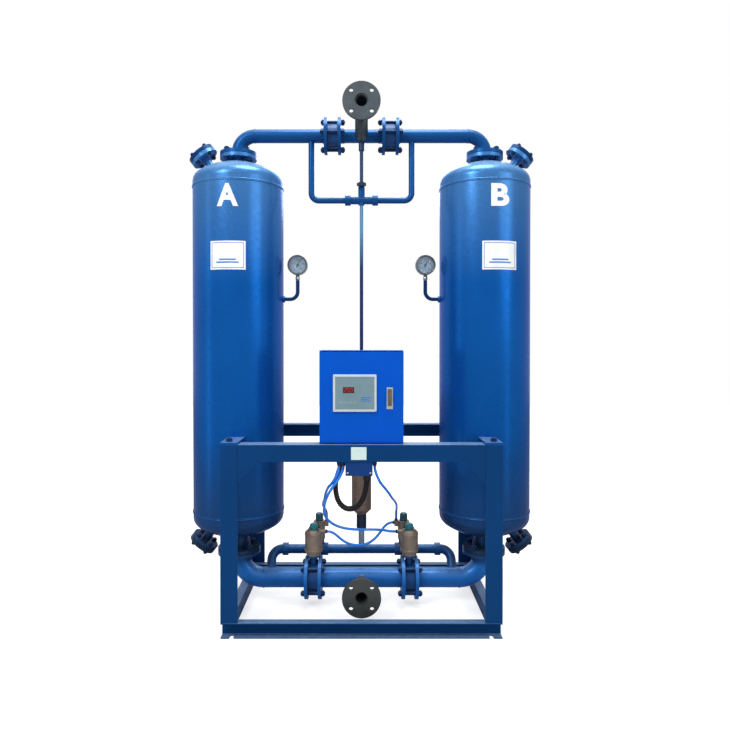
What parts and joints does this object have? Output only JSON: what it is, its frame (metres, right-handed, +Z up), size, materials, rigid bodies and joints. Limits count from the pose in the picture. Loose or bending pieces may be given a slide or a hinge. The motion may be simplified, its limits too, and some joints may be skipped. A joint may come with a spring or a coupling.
{
  "type": "desiccant air dryer",
  "caption": "Twin-tower desiccant air dryer on a steel skid, with valve manifolds, purge loop, gauges, exhaust muffler and a hinged control box.",
  "frame": {"origin": "centre of the skid's footprint on the floor", "axes": "+Z up along the towers; -Y the front, where the inlet and outlet flanges and the control box face; +X towards tower B"},
  "size_m": [1.5602, 0.71, 2.3135],
  "materials": {
    "frame_paint": "gloss enamel over rolled steel",
    "tower_paint": "gloss enamel over welded plate",
    "pipe_paint": "gloss enamel over steel pipe",
    "dark_paint": "satin primer over forged steel",
    "valve_paint": "satin enamel over cast iron",
    "box_paint": "gloss powder coat",
    "pilot_paint": "satin powder coat",
    "stainless": "brushed",
    "zinc": "zinc plated",
    "gasket": "compressed fibre",
    "alumina": "porous alumina beads",
    "brass": "turned",
    "handle_vinyl": "dipped vinyl",
    "gauge_case": "semi-gloss",
    "dial": "printed matt",
    "lens": "clear",
    "pointer": "blacked",
    "panel": "fine texture",
    "actuator": "hard anodised bronze",
    "cap_teal": "moulded",
    "muffler": "sintered bronze",
    "conduit": "corrugated",
    "tube": "smooth extruded"
  },
  "bodies": {
    "dryer": {"base_rails": "frame_paint", "side_rails": "frame_paint", "posts": "frame_paint", "beams": "frame_paint", "tower_a_vessel": "tower_paint", "tower_b_vessel": "tower_paint", "port_covers": "tower_paint", "outlet_pipe_a": "pipe_paint", "outlet_pipe_b": "pipe_paint", "outlet_centre": "pipe_paint", "purge_pipes": "pipe_paint", "gauge_pipes": "pipe_paint", "inlet_pipe_a": "pipe_paint", "inlet_pipe_b": "pipe_paint", "inlet_centre": "pipe_paint", "exhaust_pipes": "pipe_paint", "outlet_neck": "dark_paint", "outlet_flange": "dark_paint", "inlet_stub": "dark_paint", "inlet_flange": "dark_paint", "check_body_a": "valve_paint", "check_body_b": "valve_paint", "inlet_valve_bodies": "valve_paint", "exhaust_valve_bodies": "valve_paint", "control_enclosure": "box_paint", "pilot_valve_box": "pilot_paint", "bed_screens": "stainless", "flange_bolts": "zinc", "port_bolts": "zinc", "pilot_air_pipes": "zinc", "gaskets": "gasket", "desiccant_beds": "alumina", "purge_valve": "brass", "gauge_cases": "gauge_case", "gauge_dials": "dial", "gauge_lenses": "lens", "inlet_actuators": "actuator", "exhaust_actuators": "actuator", "exhaust_caps": "cap_teal", "muffler": "muffler", "conduit": "conduit", "tube_1": "tube", "tube_2": "tube", "tube_3": "tube", "tube_4": "tube"},
    "door": {"control_door": "box_paint", "controller": "panel", "latch_plate": "zinc"},
    "lever": {"latch_lever": "zinc"},
    "purge_handle": {"purge_handle": "handle_vinyl"},
    "pointer_a": {"gauge_pointer_a": "pointer"},
    "pointer_b": {"gauge_pointer_b": "pointer"},
    "flap_a": {"check_flap_a": "stainless"},
    "flap_b": {"check_flap_b": "stainless"},
    "butterfly_a": {"inlet_spindle_a": "stainless", "inlet_cap_a": "cap_teal"},
    "butterfly_b": {"inlet_spindle_b": "stainless", "inlet_cap_b": "cap_teal"},
    "plunger_a": {"exhaust_plunger_a": "stainless"},
    "plunger_b": {"exhaust_plunger_b": "stainless"}
  },
  "joints": [
    {"name": "door_hinge", "type": "hinge", "parent": "dryer", "child": "door", "pos_m": [-0.164, -0.324, 0.971], "axis": [0, 0, -1], "range_deg": [0, 110]},
    {"name": "latch_pull", "type": "hinge", "parent": "door", "child": "lever", "pos_m": [0.114, -0.341, 0.9395], "axis": [1, 0, 0], "range_deg": [0, 35]},
    {"name": "purge_turn", "type": "hinge", "parent": "dryer", "child": "purge_handle", "pos_m": [0, -0.03, 1.905], "axis": [0, 1, 0], "range_deg": [0, 90]},
    {"name": "pointer_a_sweep", "type": "hinge", "parent": "dryer", "child": "pointer_a", "pos_m": [-0.291, 0, 1.545], "axis": [0, 1, 0], "range_deg": [-165, 105]},
    {"name": "pointer_b_sweep", "type": "hinge", "parent": "dryer", "child": "pointer_b", "pos_m": [0.291, 0, 1.545], "axis": [0, 1, 0], "range_deg": [-165, 105]},
    {"name": "flap_a_swing", "type": "hinge", "parent": "dryer", "child": "flap_a", "pos_m": [-0.1399, 0, 2.156], "axis": [0, -1, 0], "range_deg": [0, 60]},
    {"name": "flap_b_swing", "type": "hinge", "parent": "dryer", "child": "flap_b", "pos_m": [0.1399, 0, 2.156], "axis": [0, 1, 0], "range_deg": [0, 60]},
    {"name": "inlet_a_turn", "type": "hinge", "parent": "dryer", "child": "butterfly_a", "pos_m": [-0.219, 0, 0.117], "axis": [0, 0, 1], "range_deg": [0, 90]},
    {"name": "inlet_b_turn", "type": "hinge", "parent": "dryer", "child": "butterfly_b", "pos_m": [0.219, 0, 0.117], "axis": [0, 0, 1], "range_deg": [0, 90]},
    {"name": "plunger_a_lift", "type": "slide", "parent": "dryer", "child": "plunger_a", "axis": [0, 0, 1], "range_m": [0, 0.03]},
    {"name": "plunger_b_lift", "type": "slide", "parent": "dryer", "child": "plunger_b", "axis": [0, 0, 1], "range_m": [0, 0.03]}
  ]
}
